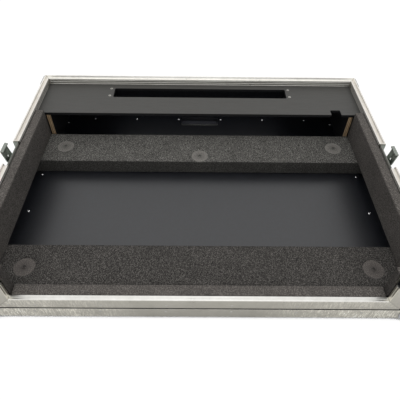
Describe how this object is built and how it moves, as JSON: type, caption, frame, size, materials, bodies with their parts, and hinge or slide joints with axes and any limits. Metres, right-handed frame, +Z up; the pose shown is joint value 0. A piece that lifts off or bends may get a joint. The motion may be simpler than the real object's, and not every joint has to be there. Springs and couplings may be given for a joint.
{
  "type": "dj controller flight case",
  "caption": "Open base of a flat plywood and aluminium flight case, foam lined, with a low front wall, foam support rails, a slotted cable shelf and recessed turn latches on its sides.",
  "frame": {"origin": "under the middle of the case, on the surface that its feet stand on", "axes": "+X to the right of someone using the equipment, +Y to the back where the shelf is, +Z up"},
  "size_m": [0.815, 0.615, 0.148],
  "materials": {
    "aluminium": "satin",
    "foam": "matte",
    "laminate": "satin",
    "plywood": "matte",
    "rubber": "matte",
    "shelf_board": "matte",
    "steel": "polished",
    "washer": "satin",
    "zinc": "satin"
  },
  "bodies": {
    "case": {"back_panel": "laminate", "ball_corner_back_left": "steel", "ball_corner_back_right": "steel", "ball_corner_front_left": "steel", "ball_corner_front_right": "steel", "bottom_edge_back": "aluminium", "bottom_edge_front": "aluminium", "bottom_edge_left": "aluminium", "bottom_edge_right": "aluminium", "corner_brace_back_left": "steel", "corner_brace_back_right": "steel", "corner_brace_front_left": "steel", "corner_brace_front_right": "steel", "corner_edge_back_left": "aluminium", "corner_edge_back_right": "aluminium", "corner_edge_front_left": "aluminium", "corner_edge_front_right": "aluminium", "floor_panel": "laminate", "foot_back_left": "rubber", "foot_back_right": "rubber", "foot_front_left": "rubber", "foot_front_right": "rubber", "front_corner_foam_left": "foam", "front_corner_foam_right": "foam", "front_foam_strip": "foam", "front_lip": "aluminium", "front_panel": "laminate", "front_post_left": "aluminium", "front_post_right": "aluminium", "front_rail_foam": "foam", "latch_dish_left": "zinc", "latch_dish_right": "zinc", "left_panel": "laminate", "rail_washer_front_left": "washer", "rail_washer_front_right": "washer", "rail_washer_rear_left": "washer", "rail_washer_rear_middle": "washer", "rail_washer_rear_right": "washer", "rear_rail_foam": "foam", "right_panel": "laminate", "rim_back": "aluminium", "rim_front_left": "aluminium", "rim_front_right": "aluminium", "rim_left_front": "aluminium", "rim_left_rear": "aluminium", "rim_right_front": "aluminium", "rim_right_rear": "aluminium", "shelf_bracket_left": "plywood", "shelf_bracket_right": "plywood", "shelf_panel": "shelf_board", "shelf_upright_left": "plywood", "shelf_upright_right": "plywood", "side_foam_left": "foam", "side_foam_right": "foam"},
    "left_spindle": {"latch_spindle_left": "zinc"},
    "left_claw": {"latch_claw_left": "zinc"},
    "left_wing": {"latch_wing_left": "steel"},
    "right_spindle": {"latch_spindle_right": "zinc"},
    "right_claw": {"latch_claw_right": "zinc"},
    "right_wing": {"latch_wing_right": "steel"}
  },
  "joints": [
    {"name": "left_latch_twist", "type": "hinge", "parent": "case", "child": "left_spindle", "pos_m": [-0.401, 0, 0.088], "axis": [1, 0, 0], "range_deg": [0, 180]},
    {"name": "left_claw_slide", "type": "slide", "parent": "case", "child": "left_claw", "axis": [0, 0, -1], "range_m": [0, 0.012]},
    {"name": "left_wing_fold", "type": "hinge", "parent": "left_spindle", "child": "left_wing", "pos_m": [-0.3996, 0, 0.088], "axis": [0, -1, 0], "range_deg": [0, 90]},
    {"name": "right_latch_twist", "type": "hinge", "parent": "case", "child": "right_spindle", "pos_m": [0.401, 0, 0.088], "axis": [1, 0, 0], "range_deg": [0, 180]},
    {"name": "right_claw_slide", "type": "slide", "parent": "case", "child": "right_claw", "axis": [0, 0, -1], "range_m": [0, 0.012]},
    {"name": "right_wing_fold", "type": "hinge", "parent": "right_spindle", "child": "right_wing", "pos_m": [0.3996, 0, 0.088], "axis": [0, 1, 0], "range_deg": [0, 90]}
  ],
  "couplings": [
    {"joint": "left_latch_twist", "follows": "left_claw_slide", "rad_per_m": 261.8},
    {"joint": "right_latch_twist", "follows": "right_claw_slide", "rad_per_m": 261.8}
  ]
}
